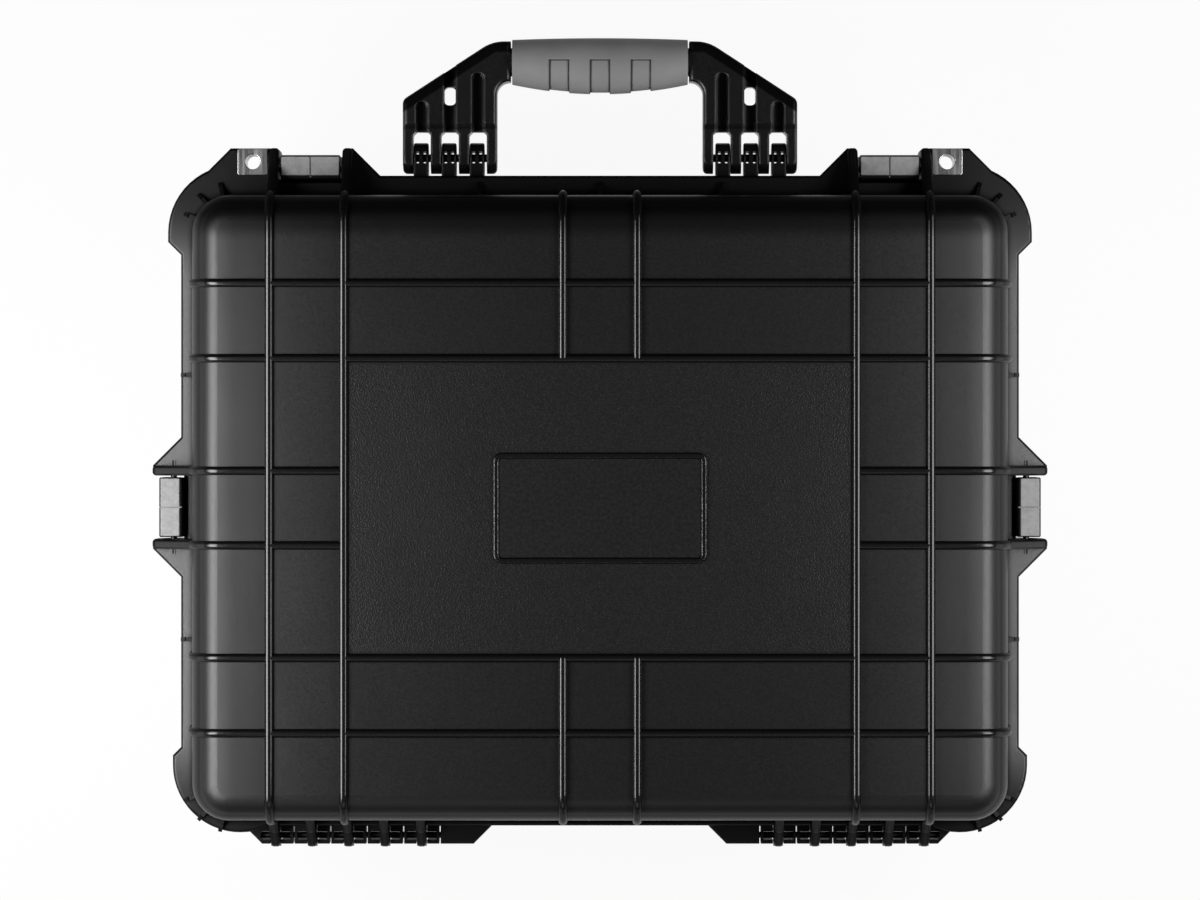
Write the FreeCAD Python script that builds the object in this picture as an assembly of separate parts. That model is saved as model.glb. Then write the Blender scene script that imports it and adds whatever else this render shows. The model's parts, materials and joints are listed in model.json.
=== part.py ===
import FreeCAD, Part
import math
import os

from FreeCAD import Vector

# A black protective hard case: ribbed lid and base, four two-throw latches, folding handle and rear hinges.
# Millimetres, +Z up, the case lying on its base with the handle towards -Y and the hinges towards +Y.
# Pieces are drawn about the middle of the shells and moved to the middle of the whole object at the end.

# Shells
shell_width = 508.0
shell_depth = 390.0
base_height = 158.0
lid_height = 57.0
wall = 4.0
wall_draft = 1.2
corner_radius = 24.0
shoulder_radius = 17.0
parting_gap = 0.6
foot_height = 3.4
foot_size = 30.0
foot_corner = 6.0

# Rim around lid and base, with a bumper at each corner
lid_rim = 8.0
base_rim = 10.0
rim_side = 9.3
rim_rear = 5.2
rim_front = 13.3
rim_corner = 36.0
rim_edge = 2.0
bumper_radius = 42.5
bumper_front_inset_x = 25.0
bumper_front_inset_y = 22.4
bumper_rear_inset_x = 28.0
bumper_rear_inset_y = 33.0
bumper_flat = 6.0

# Webs that brace the rim
web_width = 2.4
web_reach = 10.0
web_height = 9.0
web_lip = 1.0
web_angles = (15.0, 41.0, 67.0)
front_web_pitch = 76.0
side_web_offset = 83.0

# Seal: a tongue on the base's rim enters a groove in the lid's rim
groove_offset = 0.5
groove_width = 5.2
groove_depth = 4.5
tongue_width = 2.6
tongue_height = 2.2
gasket_width = 4.6
gasket_height = 2.6

# Ribs
rib_width = 5.4
rib_height = 3.0
cross_rib_height = 2.6
rib_root = 2.2
rib_flare = 1.6
outer_cross_inset = 56.0
cross_rib_pitch = 46.5

# Name plate in its raised frame
frame_width = 132.0
frame_depth = 68.5
frame_corner = 5.7
frame_bead = 3.6
frame_height = 1.6
frame_edge = 1.2
plate_gap = 0.3
plate_height = 0.8

# Latches: an arm hangs on the lid's ears, and a lever on the arm hooks under the base's keeper
latch_rib_pitch = 46.0
front_latch_inset = 72.5
latch_standoff_front = 9.5
latch_standoff_side = 6.0
latch_width = 37.4
ear_width = 6.4
ear_out = 21.0
ear_round = 6.0
ear_edge = 2.4
lid_ear_nose = 12.0
lid_ear_height = 36.0
base_ear_nose = 16.0
base_ear_height = 58.0
notch_back = 1.0
latch_pin_radius = 2.0
latch_pin_out = 7.5
latch_pin_rise = 10.0
latch_pin_end = 0.6
arm_in = 1.2
arm_out = 16.2
arm_top = 17.0
arm_bottom = 3.0
arm_round = 3.0
arm_skirt = 2.0
arm_skirt_depth = 3.6
arm_seam = 0.8
arm_edge = 1.0
cheek_width = 6.0
cheek_radius = 4.4
lever_pin_radius = 1.6
lever_pin_out = 9.0
lever_pin_drop = 12.0
lever_gap = 0.4
lever_plate_gap = 1.0
lever_plate = 2.6
lever_top_drop = 3.5
lever_bottom = 46.0
lever_lip = 10.0
lever_lip_out = 1.8
lever_edge = 1.0
hook_reach = 5.7
hook_depth = 3.6
hook_slope = 4.5
keeper_gap = 0.6
keeper_bottom = 15.4
keeper_height = 4.0
keeper_clearance = 1.4

# Padlock plates with their bushes, beside the front latches
padlock_plate_width = 19.2
padlock_plate_depth = 16.6
padlock_plate = 1.6
padlock_plate_gap = 0.8
padlock_plate_inset = 0.4
padlock_plate_corner = 1.5
padlock_plate_edge = 0.5
padlock_hole_radius = 4.7
padlock_bush = 1.5
padlock_lug_margin = 4.4

# Hinges
hinge_out = 7.1
hinge_drop = 8.0
hinge_pin_radius = 2.0
hinge_pin_inner = 72.0
hinge_pin_outer = 57.0
knuckle_count = 5
knuckle_radius = 7.0
knuckle_width = 6.0
knuckle_gap = 0.5
knuckle_back_gap = 1.2
knuckle_nose = 2.0
knuckle_round = 4.0
knuckle_height = 26.0
knuckle_edge = 2.0
hinge_block_out = 12.3
hinge_block_top = 1.5
hinge_block_bottom = 15.5
hinge_end_outer = 9.4
hinge_end_inner = 33.6
hinge_slit = 1.0
hinge_unit_wall = 1.6
hinge_window = 5.2
hinge_edge = 1.5

# Handle
handle_out = 12.3
handle_drop = 14.0
handle_pin_radius = 2.5
handle_pin_inset = 1.0
finger_count = 4
finger_width = 6.5
finger_slot = 11.2
handle_half_depth = 10.0
handle_step = 1.0
handle_step_at = 21.0
slot_top = 16.3
slot_corner = 3.0
handle_ear_width = 9.2
handle_ear_gap = 0.4
handle_ear_radius = 9.6
handle_ear_foot = 5.0
handle_ear_edge = 1.2
ear_window_width = 2.0
ear_window_length = 7.4
ear_window_offset = 2.2
handle_latch_gap = 30.7
handle_neck = 8.6
handle_corner = 36.5
handle_corner_round = 5.0
handle_slope_run = 3.0
handle_slope_round = 25.0
handle_edge_round = 3.0
grip_reach = 60.7
neck_half = 12.7
neck_round = 8.0
pocket_depth = 6.0
pocket_inset = 1.9
pocket_corner = 3.0
pocket_tops = (53.0, 34.9)
window_low = 33.2
window_high = 44.7

# Grip
grip_end_gap = 0.9
grip_core = 9.0
grip_end_top = 74.9
grip_end_bottom = 46.5
grip_mid_top = 76.0
grip_mid_bottom = 40.5
grip_end_half_depth = 13.0
grip_mid_half_depth = 14.0
grip_section_shares = (-1.0, -0.5, 0.0, 0.5, 1.0)
pad_pitch = 25.8
pad_width = 12.4
pad_depth = 1.0
pad_top = 61.4

# Pressure valve in the front wall
valve_drop = 56.0
valve_boss_radius = 13.0
valve_boss_out = 2.5
valve_boss_in = 2.5
valve_radius = 9.5
valve_head = 5.0
valve_notch_count = 10
valve_notch_radius = 1.3
valve_vent_radius = 4.2
valve_vent_depth = 1.2
valve_edge = 0.8
valve_stem_radius = 5.0
valve_seal_width = 3.0
valve_seal_height = 1.0
nut_sides = 6
valve_nut_radius = 8.5
valve_nut_height = 4.0
valve_stem_past_nut = 1.5

# Foam
foam_clearance = 0.4
lid_foam_height = 33.0
base_pad_height = 15.0
base_block_drop = 6.0
pocket_width = 300.0
pocket_length = 220.0
foam_valve_gap = 4.0

# Clearances and helpers
fixed_clearance = 0.04
running_clearance = 0.08
overrun = 1.0
tiny = 0.001

# Places worked out from the sizes
half_width = shell_width / 2
half_depth = shell_depth / 2
draft_slope = math.tan(math.radians(wall_draft))
parting_z = base_height
lid_floor = parting_z + parting_gap / 2
base_top = parting_z - parting_gap / 2
lid_top = parting_z + lid_height
front_rim_y = -(half_depth + rim_front)
rear_rim_y = half_depth + rim_rear
side_rim_x = half_width + rim_side
outer_cross_y = half_depth - outer_cross_inset
inner_cross_y = outer_cross_y - cross_rib_pitch
front_latch_x = half_width - front_latch_inset
half_pitch = latch_rib_pitch / 2
outer_rib_x = front_latch_x + half_pitch
inner_rib_x = front_latch_x - half_pitch
hinge_y = rear_rim_y + hinge_out
hinge_z = parting_z - hinge_drop
handle_y = front_rim_y - handle_out
handle_z = parting_z - handle_drop
finger_pitch = finger_width + finger_slot
handle_arm_outer = inner_rib_x - ear_width / 2 - handle_latch_gap
handle_arm_inner = handle_arm_outer - (finger_count - 1) * finger_pitch - finger_width
handle_neck_end = handle_arm_inner - handle_neck
grip_half = handle_neck_end - grip_end_gap
sides = (-1, 1)

# Latch places: centre in plan and turn about Z
latch_sites = {
    "front_left": (-front_latch_x, -(half_depth + latch_standoff_front), 0),
    "front_right": (front_latch_x, -(half_depth + latch_standoff_front), 0),
    "side_left": (-(half_width + latch_standoff_side), 0, -90),
    "side_right": (half_width + latch_standoff_side, 0, 90),
}


def in_plan(level):
    """Plane across Z: a runs along X and b along Y."""
    return lambda a, b: Vector(a, b, level)


def in_side(x):
    """Plane across X: a runs along Y and b along Z."""
    return lambda a, b: Vector(x, a, b)


def in_latch(x):
    """Plane across X at a latch: a runs outward and b up from the parting plane."""
    return lambda a, b: Vector(x, -a, parting_z + b)


def in_handle(level):
    """Plane across Z at the handle: a runs along X and b outward from the handle's pin."""
    return lambda a, b: Vector(a, handle_y - b, level)


def outline(corners, lift):
    """Closed wire through corners (a, b) or (a, b, radius), lifted into a plane."""
    points = [Vector(corner[0], corner[1], 0) for corner in corners]
    radii = [corner[2] if len(corner) > 2 else 0 for corner in corners]
    spans = []
    for index, here in enumerate(points):
        to_last = (points[index - 1] - here).normalize()
        to_next = (points[(index + 1) % len(points)] - here).normalize()
        bisector = (to_last + to_next) if radii[index] else to_last
        bisector.normalize()
        half_turn = to_last.getAngle(to_next) / 2
        reach = radii[index] / math.tan(half_turn)
        middle = here + bisector * (radii[index] / math.sin(half_turn) - radii[index])
        spans.append((here + to_last * reach, middle, here + to_next * reach))
    edges = []
    for index, (start, middle, end) in enumerate(spans):
        following = spans[(index + 1) % len(spans)][0]
        if radii[index]:
            edges.append(Part.Arc(*[lift(p.x, p.y) for p in (start, middle, end)]).toShape())
        if (following - end).Length > tiny:
            edges.append(Part.LineSegment(lift(end.x, end.y), lift(following.x, following.y)).toShape())
    return Part.Wire(edges)


def prism(corners, lift, travel):
    """Outline pushed along a vector."""
    return Part.Face(outline(corners, lift)).extrude(travel)


def side_plate(corners, x, width):
    """Plate across X with its outline in Y and Z."""
    return prism(corners, in_side(x - width / 2), Vector(width, 0, 0))


def latch_plate(corners, x, width):
    """Plate across a latch, with its outline outward and up from the parting plane."""
    return prism(corners, in_latch(x - width / 2), Vector(width, 0, 0))


def rod(radius, start, end):
    """Cylinder from one point to another."""
    return Part.makeCylinder(radius, (end - start).Length, start, end - start)


def rod_across(radius, x_from, x_to, y, z):
    """Cylinder along X."""
    return rod(radius, Vector(x_from, y, z), Vector(x_to, y, z))


def block(low, high):
    """Box between two corners."""
    size = high - low
    return Part.makeBox(size.x, size.y, size.z, low)


def rectangle(half_x, half_y, radius):
    """Corners of a rounded rectangle about the middle of the shells."""
    return [(-half_x, -half_y, radius), (half_x, -half_y, radius),
            (half_x, half_y, radius), (-half_x, half_y, radius)]


def mirrored(shape):
    """The same shape on the other side of the case."""
    return shape.mirror(Vector(), Vector(1, 0, 0))


def turned(shape, x, y, angle):
    """A copy turned about Z and moved in plan."""
    placed = shape.copy()
    placed.rotate(Vector(), Vector(0, 0, 1), angle)
    placed.translate(Vector(x, y, 0))
    return placed


def at_site(shape, site):
    """A latch piece drawn at the middle, put at its place on the case."""
    x, y, angle = latch_sites[site]
    return turned(shape, x, y, angle)


def at_front(site):
    """Whether a latch is on the case's front."""
    return site.startswith("front")


def standoff(site):
    """Distance of a latch's inner face from the shell's wall."""
    return latch_standoff_front if at_front(site) else latch_standoff_side


def rounded(shape, radius, picks):
    """Shape with some of its edges rounded."""
    return shape.makeFillet(radius, [edge for edge in shape.Edges if picks(edge)])


def rounded_at(shape, radius, *levels):
    """Shape with all its edges at some levels rounded."""
    def on_level(edge):
        return any(all(abs(v.Z - level) < tiny for v in edge.Vertexes) for level in levels)
    return rounded(shape, radius, on_level)


def rounded_crest(plate, x, width, radius, is_crest):
    """Plate across X with the edges of both its faces rounded where their middle is on the crest."""
    def on_crest(edge):
        on_face = all(abs(abs(v.X - x) - width / 2) < tiny for v in edge.Vertexes)
        along = abs(abs(edge.CenterOfMass.x - x) - width / 2) < tiny
        return on_face and along and is_crest(edge.CenterOfMass)
    return rounded(plate, radius, on_crest)


def drafted_block(inset, z_rim, z_far, past_rim):
    """Solid of the shell's outer form, drawn in by inset, from past the rim to its rounded far face."""
    way = 1 if z_far > z_rim else -1
    wires = []
    for level in (z_rim - way * past_rim, z_far):
        lean = inset + (level - z_rim) * way * draft_slope
        corners = rectangle(half_width - lean, half_depth - lean, corner_radius - lean)
        wires.append(outline(corners, in_plan(level)))
    loft = Part.makeLoft(wires, True, True)
    far_edges = [edge for edge in loft.Edges if all(abs(v.Z - z_far) < tiny for v in edge.Vertexes)]
    return loft.makeFillet(shoulder_radius - inset, far_edges)


def rib(half_span, z_rim, z_far, rim, height, lift, lateral, stop=None):
    """Half-round rib that climbs from the rim over the shoulder, to the far rim or to a stop."""
    way = 1 if z_far > z_rim else -1
    rise = abs(z_far - z_rim)
    lean = math.radians(wall_draft)
    far_corner = half_span - rise * draft_slope
    arc_end = far_corner - shoulder_radius * math.tan((math.pi / 2 - lean) / 2)
    center = Vector(arc_end, rise - shoulder_radius, 0)
    foot = Vector(half_span + rib_flare, rim / 2, 0)
    offset = foot - center
    angle = math.atan2(offset.y, offset.x) + math.acos(shoulder_radius / offset.Length)

    def on_arc(turn):
        return center + Vector(math.cos(turn), math.sin(turn), 0) * shoulder_radius

    def place(point, flip=1):
        return lift(point.x * flip, z_rim + way * point.y)

    start = on_arc(angle)
    middle = on_arc((angle + math.pi / 2) / 2)
    crest = Vector(arc_end, rise, 0)
    path = [Part.LineSegment(place(foot), place(start)).toShape(),
            Part.Arc(place(start), place(middle), place(crest)).toShape()]
    if stop is None:
        path += [Part.LineSegment(place(crest), place(crest, -1)).toShape(),
                 Part.Arc(place(crest, -1), place(middle, -1), place(start, -1)).toShape(),
                 Part.LineSegment(place(start, -1), place(foot, -1)).toShape()]
    else:
        path += [Part.LineSegment(place(crest), place(Vector(stop, rise, 0))).toShape()]
    normal = Vector(math.cos(angle), math.sin(angle), 0)
    side = lateral * (rib_width / 2)
    root = place(foot - normal * rib_root)
    spring = place(foot + normal * (height - rib_width / 2))
    crown = place(foot + normal * height)
    section = Part.Wire([
        Part.LineSegment(root - side, spring - side).toShape(),
        Part.Arc(spring - side, crown, spring + side).toShape(),
        Part.LineSegment(spring + side, root + side).toShape(),
        Part.LineSegment(root + side, root - side).toShape(),
    ])
    return Part.Wire(path).makePipeShell([section], True, False)


def ribs(z_rim, z_far, rim):
    """All ribs of one shell."""
    along_y = Vector(0, 1, 0)
    along_x = Vector(1, 0, 0)
    shapes = []
    for side in sides:
        for x in (side * outer_rib_x, side * inner_rib_x):
            shapes.append(rib(half_depth, z_rim, z_far, rim, rib_height,
                              lambda a, z, x=x: Vector(x, a, z), along_x))
        for way in sides:
            shapes.append(rib(half_depth, z_rim, z_far, rim, rib_height,
                              lambda a, z, x=side * half_pitch, way=way: Vector(x, way * a, z),
                              along_x, inner_cross_y))
            shapes.append(rib(half_width, z_rim, z_far, rim, cross_rib_height,
                              lambda a, z, y=side * half_pitch, way=way: Vector(way * a, y, z),
                              along_y, inner_rib_x))
        for y in (side * outer_cross_y, side * inner_cross_y):
            shapes.append(rib(half_width, z_rim, z_far, rim, cross_rib_height,
                              lambda a, z, y=y: Vector(a, y, z), along_y))
    return shapes


def bumper(side, way, inset_x, inset_y, low, travel):
    """Round bumper at one corner of the rim, whose end on the case's side slants back into the rim."""
    x = half_width - inset_x
    y = half_depth - inset_y
    end = y - bumper_flat
    corners = [(x - bumper_radius, y + bumper_radius, bumper_radius),
               (x + bumper_radius, y + bumper_radius, bumper_radius),
               (x + bumper_radius, end), (x, end - bumper_radius), (x - bumper_radius, end - bumper_radius)]
    corners = [(side * corner[0], way * corner[1], *corner[2:]) for corner in corners]
    return prism(corners, in_plan(low), travel)


def latch_lug(site, low, travel):
    """Part of the rim that carries a latch's ears, with the padlock lug beside a front latch."""
    near = half_pitch + ear_width / 2
    padlock = near + padlock_plate_gap + padlock_plate_width + padlock_lug_margin
    left = padlock if site == "front_left" else near
    right = padlock if site == "front_right" else near
    root = standoff(site)
    slant = ear_out + root
    corners = [(-left - slant, root), (-left, -ear_out), (right, -ear_out), (right + slant, root)]
    return at_site(prism(corners, in_plan(low), travel), site)


def rim_plate(low, thickness, far):
    """Rim of one shell: plate, bumpers and lugs, rounded on the far face and cut back at the latches."""
    travel = Vector(0, 0, thickness)
    corners = [(-side_rim_x, front_rim_y, rim_corner), (side_rim_x, front_rim_y, rim_corner),
               (side_rim_x, rear_rim_y, rim_corner), (-side_rim_x, rear_rim_y, rim_corner)]
    shapes = []
    for side in sides:
        shapes.append(bumper(side, -1, bumper_front_inset_x, bumper_front_inset_y, low, travel))
        shapes.append(bumper(side, 1, bumper_rear_inset_x, bumper_rear_inset_y, low, travel))
    shapes += [latch_lug(site, low, travel) for site in latch_sites]
    shapes = [rounded_at(shape, rim_edge, far) for shape in shapes]
    plate = rounded_at(prism(corners, in_plan(low), travel), rim_edge, far)
    plate = plate.fuse(shapes).removeSplitter()
    notch = block(Vector(-half_pitch, -(ear_out + overrun), low - overrun),
                  Vector(half_pitch, notch_back, low + thickness + overrun))
    return plate.cut([at_site(notch, site) for site in latch_sites])


def web(root, reach, low, way):
    """Triangular web that stands on the rim, drawn outward along -Y from the middle."""
    corners = [(root, low - way * web_lip), (reach, low - way * web_lip), (reach, low + way * web_lip),
               (root, low + way * web_height)]
    plane = lambda a, b: Vector(-web_width / 2, -a, b)
    return prism(corners, plane, Vector(web_width, 0, 0))


def corner_webs(low, way):
    """Three webs fanned around each corner."""
    plate = web(corner_radius - wall / 2, corner_radius + web_reach, low, way)
    shapes = []
    for angle in web_angles:
        x = half_width - corner_radius
        y = half_depth - corner_radius
        front = turned(plate, x, -y, angle)
        rear = turned(plate, x, y, 180 - angle)
        shapes += [front, mirrored(front), rear, mirrored(rear)]
    return shapes


def straight_webs(low, way):
    """Webs on the front of the lid's rim and on both sides."""
    plate = web(-wall / 2, min(web_reach, rim_side), low, way)
    shapes = [turned(plate, x, -half_depth, 0) for x in (-front_web_pitch, 0, front_web_pitch)]
    for y in (-side_web_offset, side_web_offset):
        shapes.append(turned(plate, half_width, y, 90))
        shapes.append(turned(plate, -half_width, y, -90))
    return shapes


def seal_ring(width, z_from, z_to):
    """Ring that follows the rim's seal, of a given width."""
    reach = groove_offset + width / 2
    inner = groove_offset - width / 2
    travel = Vector(0, 0, z_to - z_from)
    outside = rectangle(half_width + reach, half_depth + reach, corner_radius + reach)
    inside = rectangle(half_width + inner, half_depth + inner, corner_radius + inner)
    return prism(outside, in_plan(z_from), travel).cut(prism(inside, in_plan(z_from), travel))


def latch_ears(site, nose, height, level):
    """The two ears beside a latch, on the lid above the parting plane or on the base below it."""
    root = -(standoff(site) + wall / 2)
    way = 1 if level > 0 else -1
    corners = [(root, level), (ear_out, level), (ear_out, way * nose, ear_round), (root, way * height)]
    ears = []
    for side in sides:
        x = side * half_pitch
        plate = latch_plate(corners, x, ear_width)
        plate = rounded_crest(plate, x, ear_width, ear_edge,
                              lambda p: p.y < -root - tiny and abs(p.z - parting_z - level) > tiny)
        ears.append(at_site(plate, site))
    return ears


def latch_pin_bore(site, clearance):
    """Bore through both lid ears for the pin that the latch hangs on."""
    reach = half_pitch + ear_width
    y = -latch_pin_out
    z = parting_z + latch_pin_rise
    return at_site(rod_across(latch_pin_radius + clearance, -reach, reach, y, z), site)


def keeper(site):
    """Ledge of the base that the lever's hook catches under."""
    root = -(standoff(site) + wall / 2)
    out = lever_pin_out - cheek_radius - keeper_clearance
    top = -base_rim + overrun
    corners = [(root, top), (-notch_back, top), (out, -(keeper_bottom - keeper_height)),
               (out, -keeper_bottom), (root, -keeper_bottom)]
    return at_site(latch_plate(corners, 0, latch_rib_pitch), site)


def latch_arm():
    """Arm of a latch: a full-width head on the lid's pin and two cheeks that carry the lever."""
    inner = arm_out - arm_skirt_depth
    head = latch_plate([(arm_in, arm_top, arm_round), (arm_out, arm_top, arm_round / 2),
                        (arm_out, -arm_skirt), (inner, -arm_skirt), (inner, arm_bottom),
                        (arm_in, arm_bottom, arm_round)], 0, latch_width)
    head = rounded_crest(head, 0, latch_width, arm_edge,
                         lambda p: p.z > parting_z + arm_bottom + arm_round or p.y < tiny - arm_out)
    back = lever_pin_out - cheek_radius
    front = lever_pin_out + cheek_radius
    low = -(lever_pin_drop + cheek_radius)
    cheek = [(back, arm_bottom + arm_round), (back, low, cheek_radius), (front, low, cheek_radius),
             (front, arm_bottom + arm_round)]
    middle = (latch_width - cheek_width) / 2
    arm = head.fuse([latch_plate(cheek, side * middle, cheek_width) for side in sides]).removeSplitter()
    seam = block(Vector(-arm_seam / 2, -(arm_out + overrun), parting_z + arm_top - arm_seam),
                 Vector(arm_seam / 2, -arm_in + overrun, parting_z + arm_top + overrun))
    reach = latch_width / 2 + overrun
    hang = rod_across(latch_pin_radius + running_clearance, -reach, reach,
                      -latch_pin_out, parting_z + latch_pin_rise)
    turn = rod_across(lever_pin_radius + fixed_clearance, -reach, reach,
                      -lever_pin_out, parting_z - lever_pin_drop)
    return arm.cut([seam, hang, turn])


def latch_lever():
    """Lever of a latch: pull plate with its lip, and the hub with the hook between the arm's cheeks."""
    back = lever_pin_out - cheek_radius
    front = lever_pin_out + cheek_radius
    plate_in = front + lever_plate_gap
    plate_out = plate_in + lever_plate
    top = -(lever_pin_drop + lever_top_drop)
    lip = -(lever_bottom - lever_lip)
    plate = latch_plate([(plate_in, top), (plate_out, top, lever_edge), (plate_out, lip),
                         (plate_out + lever_lip_out, -lever_bottom, lever_edge),
                         (plate_in + lever_lip_out, -lever_bottom), (plate_in, lip)], 0, latch_width)
    hook_top = -(keeper_bottom + keeper_gap)
    hook_tip = lever_pin_out - cheek_radius - keeper_clearance - hook_reach
    hub_top = -(lever_pin_drop - cheek_radius)
    low = hook_top - hook_depth
    hub = latch_plate([(back, hub_top, cheek_radius), (front, hub_top, cheek_radius), (front, top),
                       (plate_out - lever_plate / 2, top), (plate_out - lever_plate / 2, low - hook_slope),
                       (back, low - hook_slope), (hook_tip, low), (hook_tip, hook_top), (back, hook_top)],
                      0, latch_width - 2 * (cheek_width + lever_gap))
    bore = rod_across(lever_pin_radius + running_clearance, -latch_width, latch_width,
                      -lever_pin_out, parting_z - lever_pin_drop)
    return plate.fuse(hub).removeSplitter().cut(bore)


def latch_nodes():
    """The four latches, each with its two pins."""
    hang_half = half_pitch + ear_width / 2 - latch_pin_end
    hang = rod_across(latch_pin_radius, -hang_half, hang_half, -latch_pin_out, parting_z + latch_pin_rise)
    turn_half = latch_width / 2 - latch_pin_end
    turn = rod_across(lever_pin_radius, -turn_half, turn_half, -lever_pin_out, parting_z - lever_pin_drop)
    arm = latch_arm()
    lever = latch_lever()
    nodes = {}
    for site in latch_sites:
        nodes[site + "_latch_pin"] = at_site(hang, site)
        nodes[site + "_latch_arm"] = at_site(arm, site)
        nodes[site + "_lever_pin"] = at_site(turn, site)
        nodes[site + "_latch_lever"] = at_site(lever, site)
    return nodes


def padlock_place(side):
    """Centre of a padlock hole in plan."""
    x = outer_rib_x + ear_width / 2 + padlock_plate_gap + padlock_plate_width / 2
    front = half_depth + latch_standoff_front + ear_out
    return side * x, -(front - padlock_plate_inset - padlock_plate_depth / 2)


def padlock_plates(z_face, z_end):
    """Plates on the padlock lugs of one shell, each with a bush through its lug."""
    way = 1 if z_face > z_end else -1
    plates = []
    for side in sides:
        x, y = padlock_place(side)
        half_x = padlock_plate_width / 2
        half_y = padlock_plate_depth / 2
        corners = [(x + a * half_x, y + b * half_y, padlock_plate_corner)
                   for a, b in ((-1, -1), (1, -1), (1, 1), (-1, 1))]
        plate = prism(corners, in_plan(z_face), Vector(0, 0, way * padlock_plate))
        bush = rod(padlock_hole_radius + padlock_bush, Vector(x, y, z_end), Vector(x, y, z_face))
        hole = rod(padlock_hole_radius, Vector(x, y, z_end - way * overrun),
                   Vector(x, y, z_face + way * (padlock_plate + overrun)))
        plate = rounded_at(plate.cut(hole), padlock_plate_edge, z_face + way * padlock_plate)
        plates.append(plate.fuse(bush.cut(hole)))
    return Part.Compound(plates)


def padlock_bores():
    """Bores in the lugs that the bushes sit in."""
    radius = padlock_hole_radius + padlock_bush + fixed_clearance
    bores = []
    for side in sides:
        x, y = padlock_place(side)
        bores.append(rod(radius, Vector(x, y, base_top - base_rim - overrun),
                         Vector(x, y, lid_floor + lid_rim + overrun)))
    return bores


def knuckle_places(side):
    """X of a hinge's lid knuckles, from the inner one to the outer one."""
    first = inner_rib_x - (knuckle_count // 2) * half_pitch
    return [side * (first + index * half_pitch) for index in range(knuckle_count)]


def lid_knuckles():
    """Lid knuckles of both hinges, each a hub on the pin with a leg up the lid's rear wall."""
    root = half_depth - wall / 2
    front = hinge_y - knuckle_radius
    rear = hinge_y + knuckle_radius
    leg = [(root, lid_floor), (front, lid_floor), (front, hinge_z), (rear, hinge_z),
           (rear, parting_z - knuckle_nose, knuckle_round), (root, parting_z + knuckle_height)]
    shapes = []
    half = knuckle_width / 2
    for x in knuckle_places(-1) + knuckle_places(1):
        plate = side_plate(leg, x, knuckle_width)
        shapes.append(rounded_crest(plate, x, knuckle_width, knuckle_edge,
                                    lambda p: p.y > hinge_y + tiny and p.z > hinge_z + tiny
                                    or p.y > root + tiny and p.z > lid_floor + tiny))
        shapes.append(rod_across(knuckle_radius, x - half, x + half, hinge_y, hinge_z))
    return shapes


def hinge_pin(side, clearance=0):
    """Hinge pin, or with a clearance the bore that it sits in."""
    start = side * (inner_rib_x - hinge_pin_inner - clearance)
    end = side * (inner_rib_x + hinge_pin_outer + clearance)
    return rod_across(hinge_pin_radius + clearance, start, end, hinge_y, hinge_z)


def hinge_block(side):
    """Base's half of a hinge: a block with slots for the lid's knuckles, slits and windows over the pin."""
    root = half_depth - wall / 2
    rear = rear_rim_y + hinge_block_out
    span = knuckle_count * half_pitch / 2
    inner = inner_rib_x - span - hinge_end_inner
    outer = inner_rib_x + span + hinge_end_outer
    corners = [(side * inner, root), (side * inner, rear_rim_y), (side * (inner + hinge_block_out), rear),
               (side * (outer - hinge_block_out), rear), (side * outer, rear_rim_y), (side * outer, root)]
    low = parting_z - hinge_block_bottom
    high = parting_z - hinge_block_top
    solid = rounded_at(prism(corners, in_plan(low), Vector(0, 0, high - low)), hinge_edge, low, high)

    def cut_box(x, width, y_from, y_to, z_to):
        return block(Vector(x - width / 2, y_from, low - overrun), Vector(x + width / 2, y_to, z_to))

    slot_back = hinge_y - knuckle_radius - knuckle_back_gap
    past = rear + overrun
    slots = []
    cuts = [hinge_pin(side, fixed_clearance)]
    for x in knuckle_places(side):
        slots.append(cut_box(x, knuckle_width + 2 * knuckle_gap, slot_back, past, parting_z + overrun))
        window = half_pitch - hinge_slit - 2 * hinge_unit_wall
        near = hinge_y - hinge_window / 2
        cuts.append(cut_box(x, window, near, near + hinge_window, high + overrun))
        slit = x - side * half_pitch / 2
        cuts.append(cut_box(slit, hinge_slit, rear_rim_y + overrun, past, high + overrun))
    return solid.cut(cuts), slots


def finger_places():
    """X of one arm's fingers, from the inner one to the outer one."""
    first = handle_arm_inner + finger_width / 2
    return [first + index * finger_pitch for index in range(finger_count)]


def handle_ears(side):
    """Base ears that stand between the fingers of one handle arm."""
    root = -(half_depth - wall / 2)
    top = handle_z + handle_ear_radius
    low = handle_z - handle_ear_radius
    front = handle_y - handle_ear_radius
    corners = [(root, top), (front, top, handle_ear_radius), (front, low, handle_ear_radius),
               (root, low - handle_ear_foot)]
    shapes = []
    for finger in finger_places()[:-1]:
        slot_end = finger + finger_pitch - finger_width / 2
        x = side * (slot_end - handle_ear_gap - handle_ear_width / 2)
        ear = rounded_crest(side_plate(corners, x, handle_ear_width), x, handle_ear_width, handle_ear_edge,
                            lambda p: p.y < root - tiny)
        windows = []
        for way in sides:
            middle = Vector(x + way * ear_window_offset, handle_y, handle_z)
            half = Vector(ear_window_width / 2, ear_window_length / 2, handle_ear_radius + handle_ear_foot)
            windows.append(block(middle - half, middle + half))
        shapes.append(ear.cut(windows))
    return shapes


def handle_pin(side, clearance=0):
    """Handle pin, or with a clearance the bore that it sits in."""
    start = side * (handle_arm_inner + handle_pin_inset - clearance)
    end = side * (handle_arm_outer - handle_pin_inset + clearance)
    return rod_across(handle_pin_radius + clearance, start, end, handle_y, handle_z)


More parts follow.
